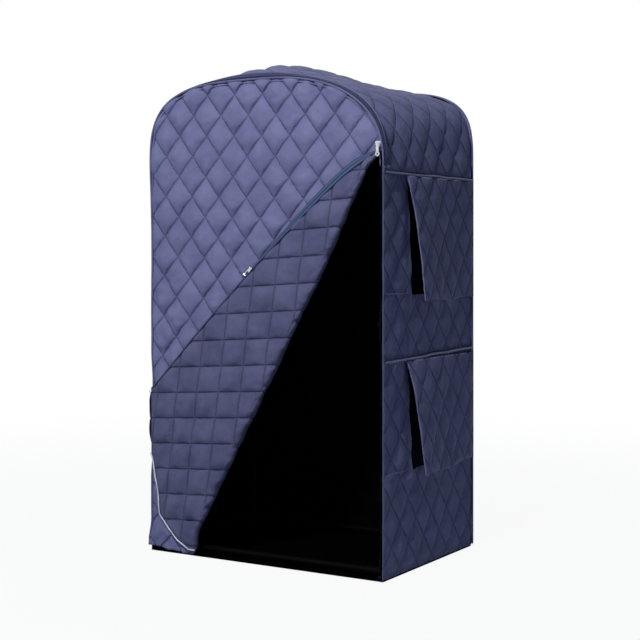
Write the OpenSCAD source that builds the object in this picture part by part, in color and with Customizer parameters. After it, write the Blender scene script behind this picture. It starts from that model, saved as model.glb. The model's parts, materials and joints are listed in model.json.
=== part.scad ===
// Portable steam sauna tent: a quilted cover over a frame of push-together tubes.
// Origin at the centre of the floor, +Z up, the door faces -Y, the arm flaps face +X.

/* [Cover] */
// Outside width of the cover
cover_w = 1000; // [980:5:1040]
// Outside depth of the cover
cover_d = 700; // [680:5:740]
// Height where the straight walls end and the arch begins
eave_z = 1420; // [1400:5:1460]
// Rise of the arch above the eave at the front and rear
arch_rise = 320; // [300:5:340]
// Extra height of the padded roof's ridge half way between front and rear
crown_rise = 80; // [40:5:100]
// Distance of the ridge from the centre line
crown_x = -50; // [-80:5:0]
// Breadth of the ridge, to either side
crown_spread = 150; // [120:5:200]
// Roundness of the front arch's shoulders, where 2 is an ellipse
shoulder_power = 3.45; // [3:0.05:3.8]
// Roundness of the rear arch's shoulders
rear_shoulder_power = 4; // [3.4:0.1:4.4]
// Roundness of the slack front right shoulder
slack_shoulder_power = 2.35; // [2.2:0.05:2.8]
// Thickness of the quilted wall cloth
cloth_t = 8; // [6:1:8]

/* [Door] */
// Distance of the zip corner from the centre line
zip_corner_x = 486; // [480:1:488]
// Height of the zip corner, down to which the door is still zipped
zip_corner_z = 1465; // [1440:5:1500]
// Angle of the folded crease from the vertical
crease_angle = 29.25; // [27:0.25:31]
// Angle by which the gathered cloth lies short of a true mirror fold
gather_angle = 9.8; // [7:0.2:11]
// Thickness of the folded door cloth
door_t = 7; // [5:1:7]
// Distance from the door cloth to its folded layer, mid-plane to mid-plane
fold_gap = 30; // [26:1:36]
// How far the flap's free edge bows out at most
edge_bow = 37; // [0:1:40]
// Width of the zip tape on the flap's free edge
tape_w = 20; // [20:1:24]
// Height of the closed door's bottom edge above the floor
door_hem_z = 14; // [12:1:30]

/* [Zips] */
// Width of a zip slider
slider_w = 18; // [14:1:18]
// Length of a zip slider
slider_l = 22; // [18:1:26]
// Length of a zip pull from its pin to its end
pull_l = 46; // [30:1:50]
// Position of the lower slider along the flap's free edge, from the zip corner
flap_slider_at = 655; // [600:1:700]

/* [Side flaps] */
// Hinge height of the upper side flap
upper_flap_top_z = 1385; // [1375:1:1388]
// Drop of the upper side flap
upper_flap_h = 435; // [420:5:440]
// Hinge height of the lower side flap
lower_flap_top_z = 740; // [730:1:745]
// Drop of the lower side flap
lower_flap_h = 400; // [390:5:410]
// Angle at which the side flaps stand off the wall
flap_stand_angle = 3; // [2:0.5:4]
// Thickness of a side flap
flap_t = 6; // [4:1:6]

/* [Frame] */
// Outside diameter of the frame tubes
tube_d = 19; // [16:1:20]
// Wall thickness of the frame tubes
tube_wall = 1; // [0.8:0.1:1.5]
// Distance of the uprights from the centre line, across the tent
post_x = 468; // [464:1:468]
// Distance of the uprights from the centre line, front to rear
post_y = 300; // [290:1:302]
// Height of the middle rails, where the uprights are joined
mid_z = 870; // [850:5:890]
// Bend radius of the arched tubes at the shoulders
shoulder_r = 250; // [240:5:260]
// Slope of the arch where the shoulder bend meets the crown tube
crown_angle = 13; // [12:0.5:14]
// Diameter of the springy roof bows
bow_d = 10; // [8:1:10]
// Height of the middle roof bow above its ends
bow_sag = 55; // [40:5:60]
// Height of the side roof bows above their ends
side_bow_sag = 30; // [20:5:35]

/* [Steam inlet] */
// Inside radius of the hose collar
inlet_r = 16; // [14:1:18]
// Distance of the collar behind the centre line
inlet_y = 220; // [180:5:240]
// Height of the collar
inlet_z = 180; // [140:5:220]

/* [Hidden] */
$fn = 48;
BEND_STEPS = 360;
RING_STEPS = 48;
MARGIN = 1;
half_w = cover_w / 2;
half_d = cover_d / 2;
hem_z = 6;

// Door layers
door_y = -half_d + door_t / 2 + 0.5;
fold_y = door_y - fold_gap;
crease_y = door_y - fold_gap / 2;
flap_angle = 2 * crease_angle - gather_angle;
flap_end_x = half_w - 4;
flap_edge_len = (zip_corner_x + half_w) / sin(flap_angle);
edge_inset = 5;
bow_peak = 0.29;
bow_fade = (1 - bow_peak) / (2 * bow_peak);
flap_start = 120;
wedge_angle = 3;
wrap_x = -half_w - 4;
wrap_y = crease_y - 3;
crease_gap = 3;

// Trim round the door
piping_w = 9;
piping_t = 4;
band_w = 24;
band_t = 2.5;
band_start_angle = 1.2;
trim_gap = 0.3;
slider_y = -half_d - piping_t - 0.9;

// Zip pulls
pin_r = 1.6;
pin_play = 0.08;
pull_t = 2.6;
pull_w = 11;
pull_end_r = 8;
pull_hole_r = 3.4;
slider_t = 7;
slider_lift = 0.4;

// Frame
tube_r = tube_d / 2;
sleeve_r = tube_r + 3;
sleeve_l = 60;
sleeve_play = 0.05;
knuckle_r = 17;
tube_end = 20;
base_z = 27;
mat_t = 4;
foot_t = base_z - knuckle_r - mat_t;
eave_rail_z = eave_z - tube_end;
eave_stub_l = tube_end + 4;
hoop_centre_x = post_x - shoulder_r;
crown_join_x = hoop_centre_x + shoulder_r * sin(crown_angle);
crown_r = crown_join_x / sin(crown_angle);
crown_centre_z = eave_z + shoulder_r * cos(crown_angle) - crown_r * cos(crown_angle);
bow_r = bow_d / 2;
bow_x = 225;
ferrule_angle = 1.2;

// ---- Outline of the arch ----

// The superellipse power of the arch at angle t (0 right, 180 left) and depth y
function arch_power(t, y) =
    let (front = t > 90 ? shoulder_power : slack_shoulder_power)
    front + (rear_shoulder_power - front) * min(1, (y + half_d) / cover_d);

// A point [x, z] of the arch, drawn in from the cover's outside by inset
function arch_point(t, y, inset) =
    let (p = 2 / arch_power(t, y))
    [
        (half_w - inset) * sign(cos(t)) * pow(abs(cos(t)), p),
        eave_z + (arch_rise - inset) * pow(sin(t), p)
    ];

// The whole outline of a panel at depth y, from the floor over the arch and back
function panel_outline(y, inset, bottom_z, steps = 48) = concat(
    [[half_w - inset, bottom_z]],
    [for (i = [0:steps]) arch_point(180 * i / steps, y, inset)],
    [[-half_w + inset, bottom_z]]
);

// Stands a drawing in the x-z plane up, centred on depth y
module stand(y, thickness) {
    translate([0, y + thickness / 2, 0]) rotate([90, 0, 0]) linear_extrude(thickness) children();
}

// ---- Cover ----

roof_steps = 36;
roof_rows = 10;

// Extra height of the roof: a ridge that fades towards all four sides
function crown(x, y) =
    crown_rise * pow(max(0, 1 - pow(y / half_d, 2)), 0.8) * (1 - pow(abs(x) / half_w, 4))
    * exp(-pow(x - crown_x, 2) / (2 * crown_spread * crown_spread));

function roof_point(t, y) =
    let (p = arch_point(t, y, 0))
    [p[0], y, p[1] + crown(p[0], y)];

// The roof at the same place, drawn in by depth towards the eave line
function roof_layer_point(t, y, depth) =
    let (p = roof_point(t, y))
    [p[0] * (1 - depth / half_w), y, eave_z + (p[2] - eave_z) * (1 - depth / arch_rise)];

// A closed shell between two grids of points, each a list of rows
module grid_shell(outer, inner) {
    rows = len(outer) - 1;
    steps = len(outer[0]) - 1;
    across = steps + 1;
    layer = across * (rows + 1);
    points = [for (grid = [outer, inner]) for (row = grid) for (p = row) p];
    faces = concat(
        [for (j = [0:rows - 1]) for (i = [0:steps - 1])
            let (a = j * across + i) [a, a + 1, a + across]],
        [for (j = [0:rows - 1]) for (i = [0:steps - 1])
            let (a = j * across + i) [a + 1, a + across + 1, a + across]],
        [for (j = [0:rows - 1]) for (i = [0:steps - 1])
            let (a = layer + j * across + i) [a + across, a + 1, a]],
        [for (j = [0:rows - 1]) for (i = [0:steps - 1])
            let (a = layer + j * across + i) [a + across, a + across + 1, a + 1]],
        [for (j = [0, rows]) for (i = [0:steps - 1])
            let (a = j * across + i, b = a + layer)
            j == 0 ? [a, b, b + 1, a + 1] : [a + 1, b + 1, b, a]],
        [for (i = [0, steps]) for (j = [0:rows - 1])
            let (a = j * across + i, b = a + layer)
            i == 0 ? [a, a + across, b + across, b] : [b, b + across, a + across, a]]
    );
    polyhedron(points, faces);
}

// Rows of points on a layer of the roof, from angle a to b and from depth y0 to y1
function roof_rows_of(a, b, steps, y0, y1, rows, depth) = [
    for (j = [0:rows]) [
        for (i = [0:steps]) roof_layer_point(a + (b - a) * i / steps, y0 + (y1 - y0) * j / rows, depth)
    ]
];

module cover_roof() {
    color("lightsteelblue") grid_shell(
        roof_rows_of(0, 180, roof_steps, -half_d, half_d, roof_rows, 0),
        roof_rows_of(0, 180, roof_steps, -half_d, half_d, roof_rows, cloth_t)
    );
}

module side_wall(side) {
    translate([side > 0 ? half_w - cloth_t : -half_w, -half_d, hem_z])
        cube([cloth_t, cover_d, eave_z - hem_z]);
}

module cover_left_wall() {
    color("slategray") difference() {
        side_wall(-1);
        translate([-half_w - MARGIN, inlet_y, inlet_z])
            rotate([0, 90, 0]) cylinder(h = cloth_t + 2 * MARGIN, r = inlet_r + 4.5);
    }
}

// The arm openings, as [lowest z, highest z], and their reach front to rear
arm_openings = [[970, 1350], [360, 715]];
arm_front_y = -165;
arm_rear_y = 170;

module cover_right_wall() {
    notch_top = zip_corner_z - flap_start + 10;
    color("slategray") difference() {
        side_wall(1);
        for (opening = arm_openings)
            translate([half_w - cloth_t - MARGIN, arm_front_y, opening[0]])
                cube([cloth_t + 2 * MARGIN, arm_rear_y - arm_front_y, opening[1] - opening[0]]);
        // clearance for the door cloth that closes in front of the wall's edge
        translate([half_w - cloth_t - MARGIN, -half_d - MARGIN, door_hem_z - MARGIN])
            cube([cloth_t + 2 * MARGIN, door_t + 2 * MARGIN + 0.5, notch_top - door_hem_z]);
    }
}

module cover_rear_panel() {
    color("slategray")
        stand(half_d - cloth_t / 2, cloth_t)
            polygon(panel_outline(half_d, cloth_t + MARGIN, hem_z));
}

// ---- Door ----

// A point r from the zip corner, at angle a from straight down towards the left
function from_corner(r, a) = [zip_corner_x - r * sin(a), zip_corner_z - r * cos(a)];

// Where a closed door point goes when the door is folded over the crease
function folded(r, a, gather) = from_corner(r, 2 * crease_angle - a - gather);

// Distance from the corner down to the closed door's hem at angle a
function hem_reach(a) = (zip_corner_z - door_hem_z) / cos(a);

module door_fixed_panel() {
    reach = 2000;
    past_a = crease_angle + 0.15;
    color("steelblue") difference() {
        stand(door_y, door_t) polygon(panel_outline(-half_d, cloth_t + MARGIN, hem_z + 1));
        stand(door_y, door_t + 2 * MARGIN)
            polygon([
                from_corner(-60, past_a),
                from_corner(reach, past_a),
                [2 * half_w, zip_corner_z - reach],
                [2 * half_w, zip_corner_z + 60]
            ]);
    }
}

// A flat band round the front between two insets, open along the floor
module door_trim(outer_inset, inner_inset, y, thickness) {
    stand(y + thickness / 2, thickness) difference() {
        polygon(panel_outline(-half_d, outer_inset, hem_z + 1));
        polygon(panel_outline(-half_d, inner_inset, hem_z - 20));
    }
}

// The zip band on the roof's front rim, from the zip corner over to the left eave
module door_zip_band() {
    front_y = -half_d + 3;
    lift = -0.4;
    color("midnightblue") grid_shell(
        roof_rows_of(band_start_angle, 180, roof_steps, front_y, front_y + band_w, 2, lift - band_t),
        roof_rows_of(band_start_angle, 180, roof_steps, front_y, front_y + band_w, 2, lift)
    );
}

module front_piping() {
    color("lightgray") door_trim(0, piping_w, -half_d - piping_t, piping_t);
}

module door_crease_strip() {
    start_a = crease_angle;
    end_a = crease_angle - wedge_angle;
    gap_a = atan(crease_gap / 400);
    color("steelblue") stand(fold_y, door_t) polygon([
        folded(flap_start * 2, start_a - 2 * gap_a, 0),
        folded(flap_start * 2, end_a, 0),
        folded(hem_reach(end_a), end_a, 0),
        folded(hem_reach(start_a - gap_a), start_a - gap_a, 0)
    ]);
}

// The closed free edge bows out from its straight line by this much at distance r
function bow(r) =
    let (t = r / flap_edge_len)
    t > 1 ? 0 : edge_bow * sqrt(t / bow_peak) * pow((1 - t) / (1 - bow_peak), bow_fade);

// The free edge at distance r, drawn in by inset, as a closed angle from straight down
function edge_angle(r, inset) = atan((edge_inset + inset - bow(r)) / r);

flap_steps = 14;

// Points of the folded free edge, from the top down, drawn in by inset
function edge_points(inset) = [
    for (i = [0:flap_steps])
        let (r = flap_start + (hem_reach(0) - flap_start) * i / flap_steps)
        folded(r, edge_angle(r, inset), gather_angle)
];

function reversed(list) = [for (i = [len(list) - 1:-1:0]) list[i]];

module in_front_of_face() {
    intersection() {
        children();
        translate([-flap_end_x, -cover_d, -MARGIN])
            cube([cover_w, cover_d, zip_corner_z + 2 * MARGIN]);
    }
}

module door_flap_panel() {
    inner_a = crease_angle - wedge_angle - gather_angle - 0.5;
    color("steelblue") in_front_of_face()
        stand(fold_y, door_t) polygon(concat(
            edge_points(tape_w + trim_gap),
            [
                folded(hem_reach(inner_a), inner_a, gather_angle),
                folded(flap_start * 1.6, inner_a, gather_angle)
            ]
        ));
}

module door_flap_tape() {
    tape_t = 3;
    color("teal") in_front_of_face()
        stand(fold_y, tape_t) polygon(concat(edge_points(0), reversed(edge_points(tape_w))));
}

// The end of the flap, wrapped round the left front corner
module door_flap_tip() {
    first = 8;
    // height of the flap's two edges at a distance past the corner
    slope = tan(90 - flap_angle);
    top_z = zip_corner_z - (zip_corner_x - wrap_x) * slope;
    tip = folded(hem_reach(0), 0, gather_angle);
    tip_reach = wrap_x - tip[0];
    hem_slope = tan(90 - gather_angle - 2 * crease_angle + 90);
    low_z = tip[1] - tip_reach * abs(hem_slope);
    color("steelblue")
        translate([wrap_x - fold_gap / 2 + 3 - door_t / 2, 0, 0])
            rotate([90, 0, 90]) linear_extrude(door_t) polygon([
                [wrap_y + first, low_z + first * abs(hem_slope)],
                [wrap_y + tip_reach, tip[1]],
                [wrap_y + first, top_z - first * slope]
            ]);
}

// ---- Zip sliders and pulls ----

// A slider with its back on y = 0, running along z, with two ears that hold a pin
module zip_slider() {
    ear_y = -slider_t - 3;
    color("silver") union() {
        translate([0, -slider_t, 0]) rotate([-90, 0, 0]) linear_extrude(slider_t) polygon([
            [-slider_w / 2, -slider_l / 2], [slider_w / 2, -slider_l / 2],
            [slider_w / 2, 0], [slider_w / 3, slider_l / 2], [-slider_w / 3, slider_l / 2],
            [-slider_w / 2, 0]
        ]);
        for (side = [-1, 1])
            translate([side * (pull_w / 2 + 1.5) - 1, ear_y - pin_r, slider_l / 4 - 3])
                cube([2, pin_r + 4, 6]);
        translate([-pull_w / 2 - 1.5, ear_y, slider_l / 4])
            rotate([0, 90, 0]) cylinder(h = pull_w + 3, r = pin_r);
    }
}

// The pull that hangs from the slider's pin, with a round hole at its end
module zip_pull() {
    pin_y = -slider_t - 3;
    color("silver") translate([0, pin_y, slider_l / 4]) difference() {
        union() {
            translate([-pull_w / 2 + 0.5, -pull_t / 2, -pull_l + pull_end_r])
                cube([pull_w - 1, pull_t, pull_l - pull_end_r]);
            translate([0, pull_t / 2, -pull_l + pull_end_r])
                rotate([90, 0, 0]) cylinder(h = pull_t, r = pull_end_r);
            translate([-pull_w / 2 + 0.5, 0, 0])
                rotate([0, 90, 0]) cylinder(h = pull_w - 1, r = pin_r + 1);
        }
        translate([-pull_w, 0, 0]) rotate([0, 90, 0]) cylinder(h = 2 * pull_w, r = pin_r + pin_play);
        translate([0, pull_t, -pull_l + pull_end_r])
            rotate([90, 0, 0]) cylinder(h = 2 * pull_t, r = pull_hole_r);
    }
}

// The upper slider waits just above the zip corner, in front of the piping
module at_shoulder() {
    rest_up = 19;
    translate([zip_corner_x - 3, slider_y, zip_corner_z + rest_up]) children();
}

// The lower slider sits edge-on against the flap's free edge and slides along its tangent
module at_flap_edge() {
    p = folded(flap_slider_at, edge_angle(flap_slider_at, 0), gather_angle);
    slope = (bow(flap_slider_at + 1) - bow(flap_slider_at - 1)) / 2;
    translate([p[0], fold_y, p[1]]) rotate([0, flap_angle + atan(slope), 0])
        translate([-slider_lift, 0, 0]) rotate([0, 0, -90]) children();
}

module shoulder_zip_slider() { at_shoulder() zip_slider(); }
module shoulder_zip_pull() { at_shoulder() zip_pull(); }
module flap_zip_slider() { at_flap_edge() zip_slider(); }
module flap_zip_pull() { at_flap_edge() zip_pull(); }

// ---- Side flaps over the arm openings ----

flap_rear_y = half_d - 5;
flap_front_y = -178;

module side_flap(top_z, height) {
    color("slategray")
        translate([half_w + 1.5, flap_front_y, top_z])
            rotate([0, -flap_stand_angle, 0])
                translate([0, 0, -height]) cube([flap_t, flap_rear_y - flap_front_y, height]);
}

module flap_seam(z) {
    translate([half_w, -half_d + 15, z]) cube([3, cover_d - 20, 4]);
}

module upper_side_flap() { side_flap(upper_flap_top_z, upper_flap_h); }
module lower_side_flap() { side_flap(lower_flap_top_z, lower_flap_h); }
module upper_flap_seam() { color("gray") flap_seam(upper_flap_top_z + 3); }
module lower_flap_seam() { color("gray") flap_seam(lower_flap_top_z + 3); }

// ---- Floor and steam inlet ----

module floor_mat() {
    edge = 8;
    front = -half_d + door_t + 2;
    color("black") translate([-half_w + edge, front, 0])
        cube([cover_w - 2 * edge, half_d - 1 - front, mat_t]);
}

module steam_inlet_collar() {
    wall = 4;
    color("dimgray") translate([-half_w, inlet_y, inlet_z]) rotate([0, 90, 0]) difference() {
        union() {
            translate([0, 0, -20]) cylinder(h = 28, r = inlet_r + wall);
            translate([0, 0, -3.2]) cylinder(h = 3, r = inlet_r + wall + 14);
        }
        translate([0, 0, -20 - MARGIN]) cylinder(h = 28 + 2 * MARGIN, r = inlet_r);
    }
}

// ---- Frame ----

module tube(length) {
    color("dimgray") difference() {
        cylinder(h = length, r = tube_r);
        translate([0, 0, -MARGIN]) cylinder(h = length + 2 * MARGIN, r = tube_r - tube_wall);
    }
}

module rail_along_x(y, z) {
    translate([-post_x + tube_end, y, z]) rotate([0, 90, 0]) tube(2 * (post_x - tube_end));
}

module rail_along_y(x, z) {
    translate([x, -post_y + tube_end, z]) rotate([-90, 0, 0]) tube(2 * (post_y - tube_end));
}

module front_base_rail() { rail_along_x(-post_y, base_z); }
module rear_base_rail() { rail_along_x(post_y, base_z); }
module left_base_rail() { rail_along_y(-post_x, base_z); }
module right_base_rail() { rail_along_y(post_x, base_z); }
module left_mid_rail() { rail_along_y(-post_x, mid_z); }
module right_mid_rail() { rail_along_y(post_x, mid_z); }
module left_eave_rail() { rail_along_y(-post_x, eave_rail_z); }
module right_eave_rail() { rail_along_y(post_x, eave_rail_z); }

module post(side, end, low_z, high_z) {
    translate([side * post_x, end * post_y, low_z + tube_end]) tube(high_z - low_z - 2 * tube_end);
}

module front_left_lower_post() { post(-1, -1, base_z, mid_z); }
module front_right_lower_post() { post(1, -1, base_z, mid_z); }
module rear_left_lower_post() { post(-1, 1, base_z, mid_z); }
module rear_right_lower_post() { post(1, 1, base_z, mid_z); }
module front_left_upper_post() { post(-1, -1, mid_z, eave_rail_z); }
module front_right_upper_post() { post(1, -1, mid_z, eave_rail_z); }
module rear_left_upper_post() { post(-1, 1, mid_z, eave_rail_z); }
module rear_right_upper_post() { post(1, 1, mid_z, eave_rail_z); }

// A round bar bent about the origin in the x-z plane, from angle a to b above +x
module bent_bar(bend_r, bar_r, a, b) {
    rotate([90, 0, 0]) rotate([0, 0, a])
        rotate_extrude(angle = b - a, $fn = BEND_STEPS) translate([bend_r, 0])
            circle(r = bar_r, $fn = RING_STEPS);
}

// A tube bent the same way
module bent_tube(bend_r, outer_r, inner_r, a, b) {
    rotate([90, 0, 0]) rotate([0, 0, a])
        rotate_extrude(angle = b - a, $fn = BEND_STEPS) translate([bend_r, 0]) difference() {
            circle(r = outer_r, $fn = RING_STEPS);
            circle(r = inner_r, $fn = RING_STEPS);
        }
}

module shoulder_bend(side, end) {
    color("dimgray") translate([0, end * post_y, eave_z]) mirror([side < 0 ? 1 : 0, 0, 0])
        translate([hoop_centre_x, 0, 0])
            bent_tube(shoulder_r, tube_r, tube_r - tube_wall, 0, 90 - crown_angle - 0.05);
}

module front_left_shoulder_bend() { shoulder_bend(-1, -1); }
module front_right_shoulder_bend() { shoulder_bend(1, -1); }
module rear_left_shoulder_bend() { shoulder_bend(-1, 1); }
module rear_right_shoulder_bend() { shoulder_bend(1, 1); }

module crown_tube(end) {
    color("dimgray") translate([0, end * post_y, crown_centre_z])
        bent_tube(crown_r, tube_r, tube_r - tube_wall, 90 - crown_angle, 90 + crown_angle);
}

module front_crown_tube() { crown_tube(-1); }
module rear_crown_tube() { crown_tube(1); }

// Ferrules round the crown tubes' ends, where the shoulder bends plug in
module crown_ferrules() {
    color("black") for (end = [-1, 1]) translate([0, end * post_y, crown_centre_z])
        for (a = [90 - crown_angle, 90 + crown_angle - ferrule_angle])
            bent_tube(crown_r, sleeve_r, tube_r + sleeve_play, a, a + ferrule_angle);
}

// Height of the hoop's centre line at a distance x from the middle
function hoop_z(x) = crown_centre_z + sqrt(crown_r * crown_r - x * x);

// How high the bows' ends stand above the hoop's centre line
bow_lift = tube_r + bow_r + 2;

function sag(x) = x == 0 ? bow_sag : side_bow_sag;

// A bow bent in the y-z plane over the hoops at distance x
module bow_bar(x, bar_r) {
    arc_r = (post_y * post_y + sag(x) * sag(x)) / (2 * sag(x));
    half_angle = asin((post_y + 15) / arc_r);
    translate([x, 0, hoop_z(x) + bow_lift + sag(x) - arc_r])
        rotate([0, 0, 90]) bent_bar(arc_r, bar_r, 90 - half_angle, 90 + half_angle);
}

module left_roof_bow() { color("black") bow_bar(-bow_x, bow_r); }
module centre_roof_bow() { color("black") bow_bar(0, bow_r); }
module right_roof_bow() { color("black") bow_bar(bow_x, bow_r); }

// A saddle on the hoop that holds the end of a bow
module bow_clip(x, end) {
    difference() {
        translate([x - 8, end * post_y - 9, hoop_z(x)]) cube([16, 18, bow_lift + bow_r + 3]);
        translate([x, end * post_y, hoop_z(x)]) rotate([0, 90 + asin(x / crown_r), 0])
            cylinder(h = 60, r = tube_r + 0.3, center = true);
        bow_bar(x, bow_r + sleeve_play);
    }
}

module bow_clips() {
    color("black") for (x = [-bow_x, 0, bow_x]) for (end = [-1, 1]) bow_clip(x, end);
}

// A joint with one sleeve along each of the directions given
module frame_joint(side, end, z, directions) {
    color("black") translate([side * post_x, end * post_y, z]) difference() {
        union() {
            sphere(r = knuckle_r);
            for (direction = directions) sleeve_bar(direction, 0, sleeve_l, sleeve_r);
        }
        for (direction = directions)
            sleeve_bar(direction, tube_end - 1, sleeve_l + MARGIN, tube_r + sleeve_play);
    }
}

// A bar from distance a to b along x, y or z, given as a unit vector
module sleeve_bar(direction, a, b, r) {
    turn = direction[0] != 0 ? [0, 90 * direction[0], 0]
        : direction[1] != 0 ? [-90 * direction[1], 0, 0]
        : [direction[2] > 0 ? 0 : 180, 0, 0];
    rotate(turn) translate([0, 0, a]) cylinder(h = b - a, r = r);
}

module foot_joint(side, end) {
    frame_joint(side, end, base_z, [[-side, 0, 0], [0, -end, 0], [0, 0, 1]]);
}

module mid_joint(side, end) {
    frame_joint(side, end, mid_z, [[0, -end, 0], [0, 0, 1], [0, 0, -1]]);
}

module front_left_foot_joint() { foot_joint(-1, -1); }
module front_right_foot_joint() { foot_joint(1, -1); }
module rear_left_foot_joint() { foot_joint(-1, 1); }
module rear_right_foot_joint() { foot_joint(1, 1); }
module front_left_mid_joint() { mid_joint(-1, -1); }
module front_right_mid_joint() { mid_joint(1, -1); }
module rear_left_mid_joint() { mid_joint(-1, 1); }
module rear_right_mid_joint() { mid_joint(1, 1); }

module eave_joints() {
    for (side = [-1, 1]) for (end = [-1, 1])
        color("black") translate([side * post_x, end * post_y, eave_rail_z]) difference() {
            union() {
                sphere(r = knuckle_r);
                sleeve_bar([0, 0, 1], 0, eave_stub_l, sleeve_r);
                sleeve_bar([0, 0, -1], 0, sleeve_l, sleeve_r);
                sleeve_bar([0, -end, 0], 0, sleeve_l, sleeve_r);
            }
            sleeve_bar([0, 0, 1], tube_end - 1, eave_stub_l + MARGIN, tube_r + sleeve_play);
            sleeve_bar([0, 0, -1], tube_end - 1, sleeve_l + MARGIN, tube_r + sleeve_play);
            sleeve_bar([0, -end, 0], tube_end - 1, sleeve_l + MARGIN, tube_r + sleeve_play);
        }
}

module rubber_feet() {
    color("black") for (side = [-1, 1]) for (end = [-1, 1])
        translate([side * post_x, end * post_y, mat_t]) cylinder(h = foot_t, r = 16);
}

cover_roof();
cover_left_wall();
cover_right_wall();
cover_rear_panel();
door_fixed_panel();
door_zip_band();
front_piping();
door_crease_strip();
door_flap_panel();
door_flap_tape();
door_flap_tip();
shoulder_zip_slider();
shoulder_zip_pull();
flap_zip_slider();
flap_zip_pull();
upper_side_flap();
lower_side_flap();
upper_flap_seam();
lower_flap_seam();
floor_mat();
steam_inlet_collar();
front_base_rail();
rear_base_rail();
left_base_rail();
right_base_rail();
left_mid_rail();
right_mid_rail();
left_eave_rail();
right_eave_rail();
front_left_lower_post();
front_right_lower_post();
rear_left_lower_post();
rear_right_lower_post();
front_left_upper_post();
front_right_upper_post();
rear_left_upper_post();
rear_right_upper_post();
front_left_shoulder_bend();
front_right_shoulder_bend();
rear_left_shoulder_bend();
rear_right_shoulder_bend();
front_crown_tube();
rear_crown_tube();
crown_ferrules();
left_roof_bow();
centre_roof_bow();
right_roof_bow();
bow_clips();
front_left_foot_joint();
front_right_foot_joint();
rear_left_foot_joint();
rear_right_foot_joint();
front_left_mid_joint();
front_right_mid_joint();
rear_left_mid_joint();
rear_right_mid_joint();
eave_joints();
rubber_feet();
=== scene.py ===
# %% [markdown]
# # A portable steam sauna tent
# The real object is a quilted satin cover over a light frame of push-together tubes. The frame,
# the zips' metal and everything that moves come ready made with their joints. What this script
# adds is the cloth: the puffed cover, the unzipped door folded back on itself, the two side
# flaps, the piping and the zip tapes. The first cell loads the frame, so that all the cloth can
# be placed from it and nothing has to be fitted afterwards.

# %% Load the frame
import json

import bpy
import numpy as np
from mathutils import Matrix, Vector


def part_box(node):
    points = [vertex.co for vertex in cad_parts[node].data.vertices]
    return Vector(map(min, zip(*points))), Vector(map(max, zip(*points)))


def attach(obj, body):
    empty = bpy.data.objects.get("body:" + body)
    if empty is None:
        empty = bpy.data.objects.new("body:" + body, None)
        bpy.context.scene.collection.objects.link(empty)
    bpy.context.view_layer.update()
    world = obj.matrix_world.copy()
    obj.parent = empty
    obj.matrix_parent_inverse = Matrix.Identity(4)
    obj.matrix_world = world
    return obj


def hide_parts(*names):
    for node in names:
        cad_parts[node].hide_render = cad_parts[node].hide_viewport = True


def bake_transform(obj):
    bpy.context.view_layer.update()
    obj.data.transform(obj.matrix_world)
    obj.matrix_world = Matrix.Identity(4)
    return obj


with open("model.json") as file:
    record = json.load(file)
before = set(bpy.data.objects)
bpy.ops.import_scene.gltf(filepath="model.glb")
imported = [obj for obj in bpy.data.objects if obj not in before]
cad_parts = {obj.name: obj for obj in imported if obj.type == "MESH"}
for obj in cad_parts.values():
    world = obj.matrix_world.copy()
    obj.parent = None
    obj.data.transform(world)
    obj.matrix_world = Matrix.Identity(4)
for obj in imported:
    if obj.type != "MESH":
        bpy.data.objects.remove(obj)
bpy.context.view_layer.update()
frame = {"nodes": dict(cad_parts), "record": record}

# %% [markdown]
# ## The camera
# The tent is looked at from its front right corner by a level camera at chest height. A level
# camera keeps the uprights upright, and a small vertical shift frames the whole height without
# tilting. A tilted camera could frame it too, but then the walls would lean together.

# %% The camera
CAMERA_PLACE = (2.7884, -4.4981, 1.1257)
CAMERA_TURN_DEG = (90.0, 0.0, 31.5)

camera_data = bpy.data.cameras.new("view")
camera_data.lens = 78.75
camera_data.sensor_width = 36.0
camera_data.shift_y = -0.109
camera = bpy.data.objects.new("view", camera_data)
camera.location = CAMERA_PLACE
camera.rotation_euler = tuple(np.radians(CAMERA_TURN_DEG))
bpy.context.scene.collection.objects.link(camera)
bpy.context.scene.camera = camera
print("camera", tuple(round(v, 3) for v in camera.location))

# %% [markdown]
# ## Sizes
# The main sizes come from the frame's own boxes and from the axis of the crease hinge, on which
# the door folds. The other values, such as the pitch of the quilting, the rims of the openings
# and where the cloth wrinkles, are named where they are first needed. All lengths are in metres.

# %% Sizes taken from the frame
roof_low, roof_high = (np.array(corner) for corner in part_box("cover_roof"))
HALF_W, HALF_D, EAVE = roof_high[0], roof_high[1], roof_low[2]
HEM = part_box("cover_left_wall")[0][2]

joints = {joint["name"]: joint for joint in frame["record"]["behaviour"]["joints"]}
crease_joint = joints["door_fold_back"]
CORNER_X, CREASE_Y, CORNER_Z = crease_joint["pos_m"]
CREASE_SLOPE = crease_joint["axis"][0] / crease_joint["axis"][2]
flap_low, flap_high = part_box("door_flap_panel")
FOLD_Y = (flap_low[1] + flap_high[1]) / 2
DOOR_Y = 2 * CREASE_Y - FOLD_Y
print("half width", HALF_W, "eave", EAVE, "door", DOOR_Y, "fold", FOLD_Y)

# %% [markdown]
# ## Steps, bells and wrinkles
# Cloth has no hard steps, so every change from one state to another below is eased, and every
# local pinch or bulge is a bell curve. Wrinkles are smooth random relief, made from a small
# table of random heights. A noise texture with a displacement modifier could wrinkle the cloth
# too, but plain functions can be added and multiplied with the other shapes.

# %% Eased steps, bells and wrinkles
TABLE_SIDE = 97


def smooth(t):
    """0 below 0, 1 above 1, and t * t * (3 - 2 t) between."""
    t = np.clip(t, 0.0, 1.0)
    return t * t * (3.0 - 2.0 * t)


def ramp(value, start, end):
    """Eased from 0 where value is start to 1 where it is end. The end may be the lower one."""
    return smooth((value - start) / (end - start))


def bell(value, middle, width):
    """exp(-((value - middle) / width)^2): 1 in the middle, fading out to both sides."""
    return np.exp(-(((value - middle) / width) ** 2))


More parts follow.
